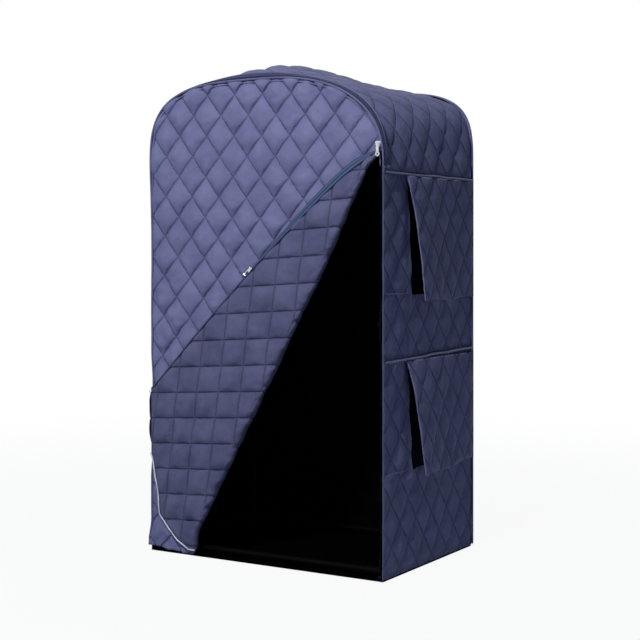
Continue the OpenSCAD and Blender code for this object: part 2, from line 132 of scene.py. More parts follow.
def wavy(u, v, size, seed):
    """Smooth random relief from -1 to 1: random heights on a square lattice, eased between."""
    table = np.random.default_rng(seed).uniform(-1.0, 1.0, (TABLE_SIDE, TABLE_SIDE))
    x, y = u / size, v / size
    i, j = np.floor(x).astype(int), np.floor(y).astype(int)
    a, b = smooth(x - i), smooth(y - j)

    def at(di, dj):
        """Heights of the lattice's corners, di and dj steps on from each cell's first one."""
        return table[(i + di) % TABLE_SIDE, (j + dj) % TABLE_SIDE]

    low = at(0, 0) * (1 - a) + at(1, 0) * a
    high = at(0, 1) * (1 - a) + at(1, 1) * a
    return low * (1 - b) + high * b


print("half way up a ramp", float(ramp(0.5, 0.0, 1.0)))

# %% [markdown]
# ## Quilting
# Satin is quilted by sewing it to a thin wadding along two families of slanting lines, which
# leaves diamonds. Between the lines the wadding pushes the satin out, and at the lines the
# thread holds it in. One function of two cloth coordinates gives that height for every panel,
# so the diamonds have one size all over the tent, and the same coordinates are kept as a UV map
# for the stitching in the material. A displacement modifier could do it too, but then the
# seams of the mesh and those of the material would have to be matched by hand.

# %% Quilting
DIAMOND_W = 0.1213
DIAMOND_H = 0.1485
PUFF = 0.0135


def sagging(x):
    """(x / 0.4)^0.56 ((1 - x) / 0.6)^0.84, from 0 at a line to 1 at 0.4 and to 0 at the next."""
    return (x / 0.4) ** 0.56 * ((1.0 - x) / 0.6) ** 0.84


def quilt(u, v, puff=PUFF):
    """Height of the pillows between the lines that s = u / w + v / h and t = u / w - v / h
    count. The wadding sags, so each pillow is fullest near its two lower edges. Two sizes of
    creases change a pillow by a share of its height, and a wide swell by 3 mm."""
    s, t = u / DIAMOND_W + v / DIAMOND_H, u / DIAMOND_W - v / DIAMOND_H
    pillow = sagging(s - np.floor(s)) * sagging(1.0 - (t - np.floor(t)))
    creased = 1.0 + 0.22 * wavy(u, v, 0.045, 3) + 0.14 * wavy(u, v, 0.021, 4)
    return puff * pillow * creased + 0.0030 * wavy(u, v, 0.23, 5)


print("a diamond is", DIAMOND_W, "by", DIAMOND_H)

# %% [markdown]
# ## From grid to mesh
# Every cloth panel here is a grid of points, worked out as one numpy array. This helper turns
# such a grid into a mesh with a UV map in metres, so that a weave keeps its scale. A mask can
# leave cells out, which is how the arm openings are cut. The direction of the rows decides
# which way the faces look, so the helper can flip them.

# %% Grid helper
def grid_piece(name, points, uv, keep=None, flip=False, ring=False):
    """A mesh from points[row, column] and uv[row, column]; keep masks cells, and ring joins
    the last column to the first."""
    rows, columns = points.shape[:2]
    index = np.arange(rows * columns).reshape(rows, columns)
    if ring:
        index = np.concatenate([index, index[:, :1]], axis=1)
    corners = [index[:-1, :-1], index[:-1, 1:], index[1:, 1:], index[1:, :-1]]
    quads = np.stack(corners[::-1] if flip else corners, axis=-1)
    quads = quads[keep] if keep is not None else quads.reshape(-1, 4)
    used, local = np.unique(quads, return_inverse=True)
    quads = local.reshape(-1, 4)
    mesh = bpy.data.meshes.new(name)
    mesh.from_pydata(points.reshape(-1, 3)[used], [], quads)
    corner_uv = uv.reshape(-1, 2)[used][quads.reshape(-1)]
    layer = mesh.uv_layers.new(name="cloth")
    layer.uv.foreach_set("vector", corner_uv.astype(np.float32).reshape(-1))
    mesh.shade_smooth()
    piece = bpy.data.objects.new(name, mesh)
    bpy.context.scene.collection.objects.link(piece)
    print(name, len(quads), "faces")
    return piece


def stacked(x, y, z):
    """Three arrays that broadcast together as one array of points."""
    return np.stack(np.broadcast_arrays(x, y, z), axis=-1)


def uv_of(u, v):
    """Two arrays as one array of UV pairs."""
    return np.stack(np.broadcast_arrays(u, v), axis=-1)


def normals(points):
    """Unit cross products of the grid's row and column directions."""
    across = np.cross(np.gradient(points, axis=0), np.gradient(points, axis=1))
    return across / np.maximum(np.linalg.norm(across, axis=-1, keepdims=True), 1e-12)


def thicken(piece, thickness, name="wadding"):
    """Gives a sheet a second face behind its first."""
    wall = piece.modifiers.new(name, "SOLIDIFY")
    wall.thickness = thickness
    wall.offset = -1.0
    return wall


# %% [markdown]
# ## Shader helpers
# The finishes are worked out with ordinary expressions. A socket wrapped in this small class
# can be added, multiplied and so on, and each operator adds one Math node. Any other node comes
# from one method, which sets its settings first and then its inputs. Linking the nodes by hand
# in the editor gives the same finish, but a formula is easier to read and to change.

# %% A socket that takes part in sums
class Socket:
    """A number from a node tree that can stand in a Python expression."""

    def __init__(self, nodes, socket):
        self.nodes, self.socket = nodes, socket

    def math(self, operation, *others):
        """One Math node on this number and the others, as a new number."""
        node = self.nodes.node("ShaderNodeMath", {"operation": operation}, [self, *others])
        return Socket(self.nodes, node.outputs[0])

    def __add__(self, other):
        return self.math("ADD", other)

    def __mul__(self, other):
        return self.math("MULTIPLY", other)

    def __sub__(self, other):
        return self.math("SUBTRACT", other)

    def __rsub__(self, other):
        return (self * -1.0) + other

    __radd__ = __add__
    __rmul__ = __mul__

    def ramp(self, low, high):
        """Rises from 0 at low to 1 at high, eased at both ends."""
        settings = {"interpolation_type": "SMOOTHSTEP"}
        node = self.nodes.node("ShaderNodeMapRange", settings, [self, low, high, 0.0, 1.0])
        return Socket(self.nodes, node.outputs[0])


# %% A node tree, and a finish built on one
class Nodes:
    """A node tree, with one method that adds nodes to it."""

    def __init__(self, tree):
        self.tree = tree

    def node(self, kind, settings=None, inputs=()):
        """Adds a node: its settings are set first, then the values or links of its inputs, given
        as a list in socket order or a dictionary by socket name."""
        node = self.tree.nodes.new(kind)
        for key, value in (settings or {}).items():
            setattr(node, key, value)
        pairs = inputs.items() if isinstance(inputs, dict) else enumerate(inputs)
        for key, value in pairs:
            self.feed(node.inputs[key], value)
        return node

    def feed(self, socket, value):
        """Links or sets one input."""
        if isinstance(value, Socket):
            self.tree.links.new(value.socket, socket)
        elif isinstance(value, bpy.types.NodeSocket):
            self.tree.links.new(value, socket)
        else:
            socket.default_value = value

    def noise(self, place, scale, detail=2.0, roughness=0.5):
        """Noise from 0 to 1 at a vector."""
        inputs = {"Vector": place, "Scale": scale, "Detail": detail, "Roughness": roughness}
        return Socket(self, self.node("ShaderNodeTexNoise", {}, inputs).outputs[0])

    def mix(self, factor, first, second):
        """The colour (1 - f) first + f second. A Mix node also has sockets for other kinds of
        data, which are hidden here, so only the live ones are used."""
        node = self.node("ShaderNodeMix", {"data_type": "RGBA"})
        live = [s for s in node.inputs if s.enabled and not s.is_unavailable]
        for socket, value in zip(live, (factor, first, second)):
            self.feed(socket, value)
        return [s for s in node.outputs if s.enabled and not s.is_unavailable][0]

    def seen(self):
        """1 for a ray from the camera, a mirror or glass, and 0 for light that falls on
        things."""
        rays = self.node("ShaderNodeLightPath").outputs
        direct = Socket(self, rays["Is Camera Ray"]).math("MAXIMUM", rays["Is Glossy Ray"])
        return direct.math("MAXIMUM", rays["Is Transmission Ray"])


class Finish(Nodes):
    """A material, as the node tree that ends in its surface shader."""

    def __init__(self, name):
        self.material = bpy.data.materials.new(name)
        self.material.use_nodes = True
        super().__init__(self.material.node_tree)
        self.shader = self.tree.nodes["Principled BSDF"]

    def set(self, **values):
        """Feeds the surface shader's sockets, with underscores for spaces."""
        for key, value in values.items():
            self.feed(self.shader.inputs[key.replace("_", " ")], value)

    def bump(self, height, distance, strength):
        """Feeds the surface's Normal from a height."""
        inputs = {"Strength": strength, "Distance": distance, "Height": height}
        self.set(Normal=self.node("ShaderNodeBump", {}, inputs).outputs[0])


# %% [markdown]
# ## Satin
# The cover is a thin synthetic satin. It has a soft broad shine rather than a mirror's, and it
# puckers into fine ripples beside each row of stitches. The reverse of the door is a deeper
# blue. The base colour changes a little from fold to fold. The stitch line itself is darker in
# the colour, partly for its thread and partly as painted shade of the groove. The same diamond
# formula as in the mesh places the stitches, read from the cloth's UV map. Stitches painted on
# by hand could look as real, but each change of the diamonds would mean painting them again.

# %% Quilted satin
NAVY = (0.168, 0.176, 0.322, 1.0)
DEEP_NAVY = (0.130, 0.136, 0.266, 1.0)
# Thread colour of the stitch lines, which also paints the shade in their grooves.
STITCH_AND_SHADE = (0.060, 0.064, 0.150, 1.0)
SATIN_SHINE = (0.45, 0.50, 0.95, 1.0)
LINE_SPACING = 1.0 / np.hypot(1.0 / DIAMOND_W, 1.0 / DIAMOND_H)
GROOVE_HALF = 0.0050


def stitch_distance(rising, falling):
    """Distance in metres from the nearer stitch line: each count is whole at its lines, so it
    is |fraction(count + 1/2) - 1/2| times the spacing."""
    distances = []
    for count in (rising, falling):
        near = (count + 1000.5).math("FRACT") - 0.5
        distances.append(near.math("ABSOLUTE") * LINE_SPACING)
    return distances[0].math("MINIMUM", distances[1])


def quilted_finish(name, light, deep, stitch):
    """Satin in two blues, with stitches along the quilting lines, darkened partly as painted shade,
    and puckers beside them.
    """
    finish = Finish(name)
    place = finish.node("ShaderNodeUVMap", {"uv_map": "cloth"}).outputs[0]
    parts = finish.node("ShaderNodeSeparateXYZ", {}, [place]).outputs
    u, v = Socket(finish, parts[0]), Socket(finish, parts[1])
    rising = u * (1.0 / DIAMOND_W) + v * (1.0 / DIAMOND_H)
    falling = u * (1.0 / DIAMOND_W) - v * (1.0 / DIAMOND_H)
    line = stitch_distance(rising, falling)
    groove = 1.0 - line.ramp(0.0, GROOVE_HALF)
    beside = 1.0 - line.ramp(0.002, 0.030)
    threads = (falling * 26.0 + rising * 7.0).math("SINE") * 0.5 + 0.5
    crinkle = finish.noise(place, 38.0, 4.0, 0.62)
    ripple = finish.noise(place, 120.0, 3.0, 0.6)
    weave = finish.noise(place, 2400.0, 1.0)
    height = crinkle * 0.55 + ripple * beside * 0.30 + weave * 0.02 - groove * 0.45
    finish.bump(height, 0.006, 0.9)
    shade = finish.noise(place, 9.0, 3.0, 0.6).ramp(0.30, 0.72)
    cloth = finish.mix(shade, deep, light)
    # The groove's darker colour is partly its thread and partly painted shade.
    sewn = finish.mix(groove * (threads * 0.20 + 0.30), cloth, stitch)
    rough = crinkle * 0.16 + groove * 0.12 + 0.38
    finish.set(Base_Color=sewn, Roughness=rough)
    finish.set(Specular_IOR_Level=0.012, Specular_Tint=SATIN_SHINE)
    return finish.material


def deeper(colour, share):
    """The same colour with its light cut to a share."""
    return tuple(share * channel for channel in colour[:3]) + (1.0,)


satin = quilted_finish("quilted_satin", NAVY, DEEP_NAVY, STITCH_AND_SHADE)
reverse_colours = deeper(NAVY, 0.66), deeper(DEEP_NAVY, 0.62), deeper(STITCH_AND_SHADE, 0.6)
reverse = quilted_finish("reverse_satin", *reverse_colours)
print("stitch lines are", round(LINE_SPACING, 4), "apart")

# %% [markdown]
# ## Plain cloth, tape, metal and the frame's finishes
# The lining is matt and near black: painted shade, so that the open cabin reads as a dark
# hollow. The frame's poles, rods, connectors and floor mat inside are near black too, as painted
# shade of the cabin. Piping and seams are bias-cut satin in a slightly deeper blue than the
# quilting. The zips have a woven tape and polished metal. The frame's own parts keep their
# meshes and only get their finishes here.

# %% Plain cloth and tape
def fabric_finish(name, light, deep, rough, scale, depth, light_and_shade_bands=0, specular=0.12):
    """Plain cloth: two shades mixed by noise, or by stripes across the UV map's width that paint
    highlights and shade on a tape, with a fine grain."""
    finish = Finish(name)
    place = finish.node("ShaderNodeTexCoord").outputs["Object"]
    shade = finish.noise(place, 14.0, 3.0).ramp(0.3, 0.7)
    if light_and_shade_bands:
        across = finish.node("ShaderNodeUVMap", {"uv_map": "cloth"}).outputs[0]
        u = Socket(finish, finish.node("ShaderNodeSeparateXYZ", {}, [across]).outputs[0])
        shade = (u * (2 * np.pi * light_and_shade_bands)).math("COSINE") * -0.45 + 0.5
    grain = finish.noise(place, scale, 2.0)
    finish.set(Base_Color=finish.mix(shade, deep, light), Roughness=grain * 0.15 + rough)
    finish.bump(grain, depth, 0.6)
    finish.set(Specular_IOR_Level=specular)
    return finish.material


# Each row: light colour, deep colour, roughness, grains per metre, their depth, stripes of
# painted highlight and shade across the width, and specular level.
FABRICS = {
    # The lining's near black is painted shade of the cabin's inside.
    "lining": ((0.003, 0.003, 0.004, 1), (0.001, 0.001, 0.002, 1), 0.75, 900.0, 0.0004, 0, 0.0),
    "piping": ((0.130, 0.137, 0.255, 1), (0.095, 0.100, 0.200, 1), 0.36, 700.0, 0.0005),
    # On the zip tapes the stripes are painted: shade at the edges and along the coil, highlights
    # between.
    "zip_tape": ((0.064, 0.098, 0.190, 1), (0.018, 0.032, 0.080, 1), 0.42, 1500.0, 0.0004, 2),
    "zip_band": ((0.042, 0.052, 0.125, 1), (0.014, 0.017, 0.055, 1), 0.45, 1500.0, 0.0004, 2),
    "white_edge": ((0.78, 0.79, 0.85, 1), (0.45, 0.46, 0.56, 1), 0.4, 800.0, 0.0004),
}
fabrics = {name: fabric_finish(name, *values) for name, values in FABRICS.items()}
print(len(fabrics), "plain cloths")

# %% Metal, plastic and rubber of the frame's own parts
def hard_finish(name, light, deep, rough, metallic, scale, depth, specular=0.08):
    """Metal or plastic: a slight change of colour and gloss, and a fine surface grain."""
    finish = Finish(name)
    place = finish.node("ShaderNodeTexCoord").outputs["Object"]
    worn = finish.noise(place, scale * 0.1, 4.0, 0.6).ramp(0.35, 0.75)
    grain = finish.noise(place, scale, 2.0)
    gloss = grain * 0.12 + worn * 0.08 + rough
    finish.set(Base_Color=finish.mix(worn, deep, light), Roughness=gloss)
    finish.set(Metallic=metallic, Specular_IOR_Level=specular)
    finish.bump(grain, depth, 0.5)
    return finish.material


# These near blacks are painted shade: the poles, rods and connectors stand in the dark inside of the
# cabin.
CABIN_SHADE_BLACK, CABIN_SHADE_DEEP = (0.003, 0.003, 0.004, 1), (0.002, 0.002, 0.002, 1)
# Each row: light colour, deep colour, roughness, metallic, grains per metre, their depth, and
# specular level.
HARD = {
    "zip_metal": ((0.80, 0.80, 0.82, 1), (0.55, 0.55, 0.58, 1), 0.16, 1.0, 900.0, 0.00005, 0.5),
    "pole": (CABIN_SHADE_BLACK, CABIN_SHADE_DEEP, 0.45, 0.0, 1200.0, 0.0001, 0.02),
    "bow_rod": (CABIN_SHADE_BLACK, CABIN_SHADE_DEEP, 0.5, 0.0, 800.0, 0.0001, 0.02),
    "connector": ((0.003, 0.003, 0.003, 1), CABIN_SHADE_DEEP, 0.55, 0.0, 1500.0, 0.0002, 0.02),
    "rubber": ((0.016, 0.016, 0.017, 1), (0.010, 0.010, 0.010, 1), 0.7, 0.0, 2000.0, 0.0003),
    # The floor mat's near black is painted shade of the cabin's inside.
    "floor_mat": ((0.002, 0.002, 0.003, 1), (0.001, 0.001, 0.001, 1), 0.62, 0.0, 700.0, 0.0006, 0.0),
    "inlet_plastic": ((0.030, 0.030, 0.034, 1), (0.020, 0.020, 0.022, 1), 0.4, 0.0, 900.0, 0.0001),
}
hard_finishes = {name: hard_finish(name, *values) for name, values in HARD.items()}
for part in frame["record"]["subparts"]:
    if part["material_slot"] in hard_finishes:
        for slot in frame["nodes"][part["node"]].material_slots:
            slot.material = hard_finishes[part["material_slot"]]
print(len(hard_finishes), "finishes on the frame's own parts")

# %% [markdown]
# Every new piece gets its finish and, where one is given, the body that it moves with, and the
# frame's parts that it stands for are hidden.

# %% Dressing helper
def dress(piece, material, slot, body, *nodes):
    """Gives a new piece its finish and its body, and hides the frame's parts that it stands for."""
    piece.data.materials.append(material)
    if body:
        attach(piece, body)
    if nodes:
        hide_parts(*nodes)
    return piece


# %% [markdown]
# ## The arch
# The front and rear of the tent are arches with full shoulders, which a superellipse gives in
# one formula. The front right shoulder is slack, because the door's zip no longer holds it, so
# its power is lower there. The roof is also padded up in the middle between front and rear.
# Angles run from 180 degrees at the left eave over the top to 0 at the right eave.

# %% Arch and roof formulas
ARCH_RISE = 0.320
FULL_FRONT, SLACK_FRONT, FULL_REAR = 3.45, 2.35, 4.0
CROWN = 0.080
RIDGE_X, RIDGE_WIDTH = -0.050, 0.150 * np.sqrt(2.0)


def arch_power(angle, y):
    """Power of the superellipse: fullest at the rear, lowest at the front right."""
    front = np.where(np.asarray(angle) > 90.0, FULL_FRONT, SLACK_FRONT)
    return front + (FULL_REAR - front) * np.clip((y + HALF_D) / (2 * HALF_D), 0, 1)


def arch(angle, y, inset=0.0):
    """x = w cos^(2/p) and z = eave + r sin^(2/p), keeping the cosine's sign."""
    power = 2.0 / arch_power(angle, y)
    c, s = np.cos(np.radians(angle)), np.clip(np.sin(np.radians(angle)), 0.0, 1.0)
    x = (HALF_W - inset) * np.sign(c) * np.abs(c) ** power
    return x, EAVE + (ARCH_RISE - inset) * s**power


def roof(angle, y, inset=0.0):
    """The arch, with the crown (1 - (y/d)^2)^0.8 (1 - (x/w)^4) added to its height, gathered
    about the ridge by a bell curve."""
    x, z = arch(angle, y, inset)
    swell = np.clip(1.0 - (y / HALF_D) ** 2, 0.0, 1.0) ** 0.8 * bell(x, RIDGE_X, RIDGE_WIDTH)
    return x, z + CROWN * swell * (1.0 - np.clip(np.abs(x) / HALF_W, 0, 1) ** 4)


fine_angles = np.linspace(180.0, 0.0, 4001)
fine_x, fine_z = arch(fine_angles, HALF_D)
fine_length = np.concatenate([[0.0], np.cumsum(np.hypot(np.diff(fine_x), np.diff(fine_z)))])
ARCH_LENGTH = fine_length[-1]


def even_angles(count):
    """Angles that divide the arch into equal lengths."""
    return np.interp(np.linspace(0.0, ARCH_LENGTH, count), fine_length, fine_angles)


print("length over the arch", round(ARCH_LENGTH, 3))

# %% [markdown]
# ## The cover's walls and roof
# On the real tent this is one long sheet, sewn over the frame from the left hem, over the roof
# and down to the right hem. It is made the same way here: a grid whose rows go up the left
# wall, over the arch and down the right wall, and whose columns go from front to rear. The
# satin and its lining are two such grids, so this helper serves both.

# %% Grid round the tent
CELL, LINING_CELL = 0.0080, 0.022
SATIN_INSET, LINING_INSET = 0.0045, 0.0125
# The near-black lining reaches down to the floor, below the satin's hem, as painted shade under the
# hem.
LINING_HEM = 0.001
HEM_LIFT = 0.016


def drawn_in(z):
    """How far the left front edge is drawn in by the door: up to 8 mm below the eave, 6 mm more
    where the door's tip is wrapped round it, and flaring out again at the bottom corner."""
    wrapped = 0.006 * ramp(z, 0.28, 0.38) * ramp(z, 0.76, 0.64)
    return 0.008 * ramp(z, EAVE + 0.05, EAVE - 0.25) + wrapped - 0.014 * ramp(z, 0.13, 0.02)


def corner_lift(z):
    """How far the hem's left front corner is pulled up, fading out 0.25 m above the floor."""
    return HEM_LIFT * ramp(z, 0.25, 0.01)


def tunnel_grid(cell, inset, bottom):
    """Rows of points round the cover, the length along it from the left hem, and depths."""
    wall = np.linspace(bottom, EAVE, int((EAVE - bottom) / cell) + 1)
    angles = even_angles(int(ARCH_LENGTH / cell) + 1)[1:-1]
    y = np.linspace(-HALF_D, HALF_D, int(2 * HALF_D / cell) + 1)
    left = -HALF_W + inset + drawn_in(wall[:, None]) * ramp(y, -0.24, -0.33)
    up = stacked(left, y, wall[:, None])
    x, z = roof(angles[:, None], y, inset)
    over = stacked(x, y, z)
    down = stacked(HALF_W - inset, y, wall[::-1, None])
    arc = np.interp(-angles, -fine_angles, fine_length)
    along = np.concatenate([wall, EAVE + arc, EAVE + ARCH_LENGTH + (EAVE - wall[::-1])])
    return np.concatenate([up, over, down]), along, y


print("cells of", CELL, "for the satin and", LINING_CELL, "for the lining")

# %% [markdown]
# ## Arm openings
# The right wall has two openings for the arms, each behind a flap. A Boolean modifier could cut
# them, but leaving out the cells of the grid keeps the quilting's rows whole. In front of each
# opening the cut cloth hangs loose.

# %% Arm openings
ARM_OPENINGS = ((0.970, 1.350), (0.360, 0.715))
ARM_FRONT, ARM_REAR = -0.165, 0.170


def on_right_wall(points):
    """True for the points of the right wall."""
    return points[..., 0] > 0.9 * HALF_W


def outside_openings(points):
    """True for the cells whose middle doesn't lie in an arm opening."""
    middle = (points[:-1, :-1] + points[1:, 1:]) / 2
    y, z = middle[..., 1], middle[..., 2]
    hole = np.zeros(middle.shape[:2], dtype=bool)
    for low, high in ARM_OPENINGS:
        hole |= (z > low) & (z < high) & (y > ARM_FRONT) & (y < ARM_REAR)
    return ~(hole & on_right_wall(middle))


def loose_rims(points):
    """The cloth in front of each arm opening hangs loose: it leans to the rear by up to 9 mm and
    bows out by up to 12 mm, more towards the opening's bottom, as bells about the front rim."""
    z = points[..., 2]
    near = bell(points[..., 1], ARM_FRONT, 0.055) * on_right_wall(points)
    for low, high in ARM_OPENINGS:
        down = np.clip((high - z) / (high - low), 0.0, 1.0) * ramp(z, low - 0.07, low)
        points[..., 1] += 0.009 * near * down
        points[..., 0] += 0.012 * near * down


print(len(ARM_OPENINGS), "arm openings")

# %% [markdown]
# ## The cover's puff
# The pillows are not equally full everywhere. They are flat where the cloth is sewn down at its
# rims and seams, pressed under the side flaps, and low on the roof, where the cloth is
# stretched. Above the upper seam of the right wall the cloth bulges a little, because it is
# gathered there. Each of these is a factor or a term of one relief.

# %% Puff of the walls and roof
SIDE_DIAMOND_H = 0.151
SIDE_ORIGIN_Y, SIDE_ORIGIN_V = 0.17, 0.050
SIDE_PUFF, SLACK_BULGE, SEWN_DEPTH = 0.0082, 0.0075, 0.0035
# Heights between which a side flap presses the wall: from 0 to full, and from full to 0.
UNDER_FLAPS = ((0.32, 0.36, 0.72, 0.75), (0.93, 0.97, 1.37, 1.40))
# Heights at which the flaps are sewn on, and how far the pillows are flat beside the seam.
SEWN_HEIGHTS = ((1.391, 0.012), (0.750, 0.014))


def cover_pattern(points, depths):
    """Cloth coordinates: u goes to the rear, and v falls with the length of cloth from the
    right hem, stretched so that a diamond is SIDE_DIAMOND_H high there."""
    steps = np.linalg.norm(np.diff(points, axis=0), axis=-1)
    hem = np.zeros((1, len(depths)))
    from_right_hem = np.concatenate([hem, np.cumsum(steps[::-1], axis=0)])[::-1]
    v = DIAMOND_H / SIDE_DIAMOND_H * (EAVE - HEM + SIDE_ORIGIN_V - from_right_hem)
    return np.broadcast_to(depths + SIDE_ORIGIN_Y, v.shape), v


def held_down(points):
    """Factor of the pillows: 0.45 under the side flaps, and less at the rims of the arm
    openings and along the flaps' seams."""
    x, y, z = points[..., 0], points[..., 1], points[..., 2]
    covered = sum(ramp(z, a, b) * ramp(z, d, c) for a, b, c, d in UNDER_FLAPS)
    pressed = 1.0 - 0.55 * covered * ramp(y, -0.17, -0.13) * (x > 0)
    by_rim = bell(y, ARM_FRONT - 0.010, 0.022) * (z > 0.34) * (z < 1.37)
    sewn = sum(bell(z, height, width) for height, width in SEWN_HEIGHTS)
    return pressed * (1.0 - np.maximum(0.75 * sewn, 0.8 * by_rim) * on_right_wall(points))


def cover_relief(points, along, depths, u, v):
    """How far the satin stands out: the quilting, turned over on the right wall, where v falls
    with height, times the factors for rims, seams and roof, and the bulge above the upper
    seam."""
    z = points[..., 2]
    edge = ramp(np.abs(depths), HALF_D, HALF_D - 0.035)
    hem = ramp(z, HEM + 0.012, HEM + 0.042)
    over_top = 1.0 - 0.2 * ramp(z, EAVE, EAVE + 0.15)
    middle = EAVE + ARCH_LENGTH / 2
    right = ramp(along[:, None], middle - 0.1, middle + 0.1)
    relief = (1 - right) * quilt(u, v) + right * quilt(u, -v, SIDE_PUFF)
    relief = relief * held_down(points) * over_top * (0.25 + 0.75 * edge) * (0.2 + 0.8 * hem)
    slack = ramp(z, 1.385, 1.405) * ramp(z, 1.52, 1.40)
    return relief - SEWN_DEPTH + SLACK_BULGE * slack * on_right_wall(points) * edge


print("pillows", PUFF, "at the left and", SIDE_PUFF, "at the right")

# %% The cover
cover_points, cover_along, cover_y = tunnel_grid(CELL, SATIN_INSET, HEM)
u, v = cover_pattern(cover_points, cover_y)
cover_cells = outside_openings(cover_points)
loose_rims(cover_points)
relief = cover_relief(cover_points, cover_along, cover_y, u, v)
left_front = (cover_points[..., 0] < 0) * ramp(cover_points[..., 1], -0.05, -0.35)
hem_lift = corner_lift(cover_points[..., 2]) * left_front
cover_points = cover_points + normals(cover_points) * relief[..., None]
cover_points[..., 2] += hem_lift
cover = grid_piece("quilted_cover", cover_points, uv_of(u, v), keep=cover_cells, flip=True)
dress(cover, satin, "quilted_satin", "tent", "cover_roof", "cover_left_wall", "cover_right_wall")

# %% [markdown]
# The lining is the inner face of the same sandwich. It hangs 8 mm inside the stitches and is
# smooth, so a coarser grid is enough.

# %% Lining of the walls and roof
lining_points, lining_along, lining_y = tunnel_grid(LINING_CELL, LINING_INSET, LINING_HEM)
lining_uv = uv_of(lining_y[None, :], lining_along[:, None])
lining_cells = outside_openings(lining_points)
loose_rims(lining_points)
inner = grid_piece("cover_lining", lining_points, lining_uv, keep=lining_cells)
dress(inner, fabrics["lining"], "lining", "tent")

# %% [markdown]
# ## Rear panel
# The rear is a flat panel with the arch's outline. Each row of its grid runs from the left edge
# to the right edge at one height, so the grid follows the outline by itself. A flat outline
# filled with triangles would have no rows to puff up.

# %% Rows up to the arch
ARCH_AREA = 2 * HALF_W * (EAVE + 0.86 * ARCH_RISE)


def arch_half_width(z, y, side):
    """Distance of the arch from the centre line at height z on one side: the superellipse
    solved for x, w (1 - h^p)^(1/p), with h from 0 at the eave to 1 at the top."""
    power = arch_power(180.0 if side < 0 else 0.0, y)
    rise = np.clip((z - EAVE) / ARCH_RISE, 0.0, 1.0)
    return HALF_W * (1.0 - rise**power) ** (1.0 / power)


def arch_rows(bottom, inset, cell):
    """Heights from the hem to the arch's top, closer together where the arch turns in."""
    straight = np.linspace(bottom, EAVE, int((EAVE - bottom) / cell))
    turn = np.linspace(0.0, 90.0, int(1.6 * ARCH_RISE / cell))[1:]
    top = EAVE + (ARCH_RISE - inset) * np.sin(np.radians(turn)) ** 0.8
    return np.concatenate([straight, top])


print("the arch's outline holds", round(ARCH_AREA, 3), "square metres")

# %% Rear panel and its lining
REAR_PUFF = 0.0095
REAR_FACE, REAR_INSIDE = HALF_D - 0.006, HALF_D - 0.012
REAR_ORIGIN_X, REAR_ORIGIN_Z = 0.03, 0.02

rear_z = arch_rows(HEM, 0.004, CELL)[:, None]
share = np.linspace(-1.0, 1.0, int(2 * HALF_W / CELL))[None, :]
rear_x = share * (arch_half_width(rear_z, HALF_D, -1.0) - 0.004)
rear_u, rear_v = rear_x + REAR_ORIGIN_X, rear_z + REAR_ORIGIN_Z
rear_edge = ramp(np.abs(share), 1.0, 0.93) * ramp(rear_z, HEM + 0.012, HEM + 0.042)
rear_y = REAR_FACE + quilt(rear_u, rear_v, REAR_PUFF) * (0.2 + 0.8 * rear_edge)
rear_uv = uv_of(rear_u, rear_v)
rear = grid_piece("rear_panel", stacked(rear_x, rear_y, rear_z), rear_uv, flip=True)
dress(rear, satin, "quilted_satin", "tent", "cover_rear_panel")

# The rear lining is carried down to the floor too, as painted shade under the hem.
to_floor = np.where(rear_z < HEM + 0.001, LINING_HEM, rear_z)
inner_rear = stacked(rear_x, REAR_INSIDE, to_floor)[::3, ::3]
rear_lining = grid_piece("rear_lining", inner_rear, rear_uv[::3, ::3])
dress(rear_lining, fabrics["lining"], "lining", "tent")

# %% [markdown]
# ## The fixed part of the door
# The door is a panel of the same shape as the rear, but its lower right part is unzipped and
# folded back along a slanting crease. What stays in place is everything left of the crease.
# Its rows therefore end at the arch or at the crease, whichever comes first.

# %% Crease and cloth coordinates of the door
DOOR_ORIGIN_X, DOOR_ORIGIN_Z = 0.0622, 1.6059
ROWS_TILT, COLUMNS_TILT = 0.0332, 0.0235


def crease_x(z):
    """Where the crease is at height z: a straight line down from the zip corner, less 20 mm
    just below the corner, where the cloth is drawn in, plus 30 mm at the hem, where the fold
    rounds off, and a small wobble."""
    down = CORNER_Z - z
    drawn = 0.020 * ramp(down, 0.0, 0.06) * ramp(down, 0.45, 0.05)
    wobble = 0.0025 * wavy(z, 0.0 * z, 0.055, 22)
    return CORNER_X - CREASE_SLOPE * down - drawn + 0.030 * ramp(z, 0.10, 0.03) + wobble


def door_pattern(x, z):
    """Cloth coordinates of the closed door: the quilting hangs a degree or two off level."""
    right, up = x - DOOR_ORIGIN_X, z - DOOR_ORIGIN_Z
    return right - COLUMNS_TILT * up, up + ROWS_TILT * right


print("the crease is at", round(float(crease_x(CORNER_Z / 2)), 3), "half way down")

# %% Fixed part of the door
DOOR_PUFF = 0.0185
CLOTH_THICKNESS = 0.004
FLAP_WIDTH = 0.83

door_z = arch_rows(HEM, 0.003, CELL)[:, None]
right_arch = arch_half_width(door_z, -HALF_D, 1.0)
door_left = -arch_half_width(door_z, -HALF_D, -1.0) + 0.0015 + drawn_in(door_z)
to_crease = np.where(door_z < CORNER_Z, crease_x(door_z), np.inf)
door_right = np.minimum(right_arch - 0.003, to_crease)
share = np.linspace(0.0, 1.0, int(2 * HALF_W / CELL))[None, :]
door_x = door_left + share * (door_right - door_left)
door_u, door_v = door_pattern(door_x, door_z)

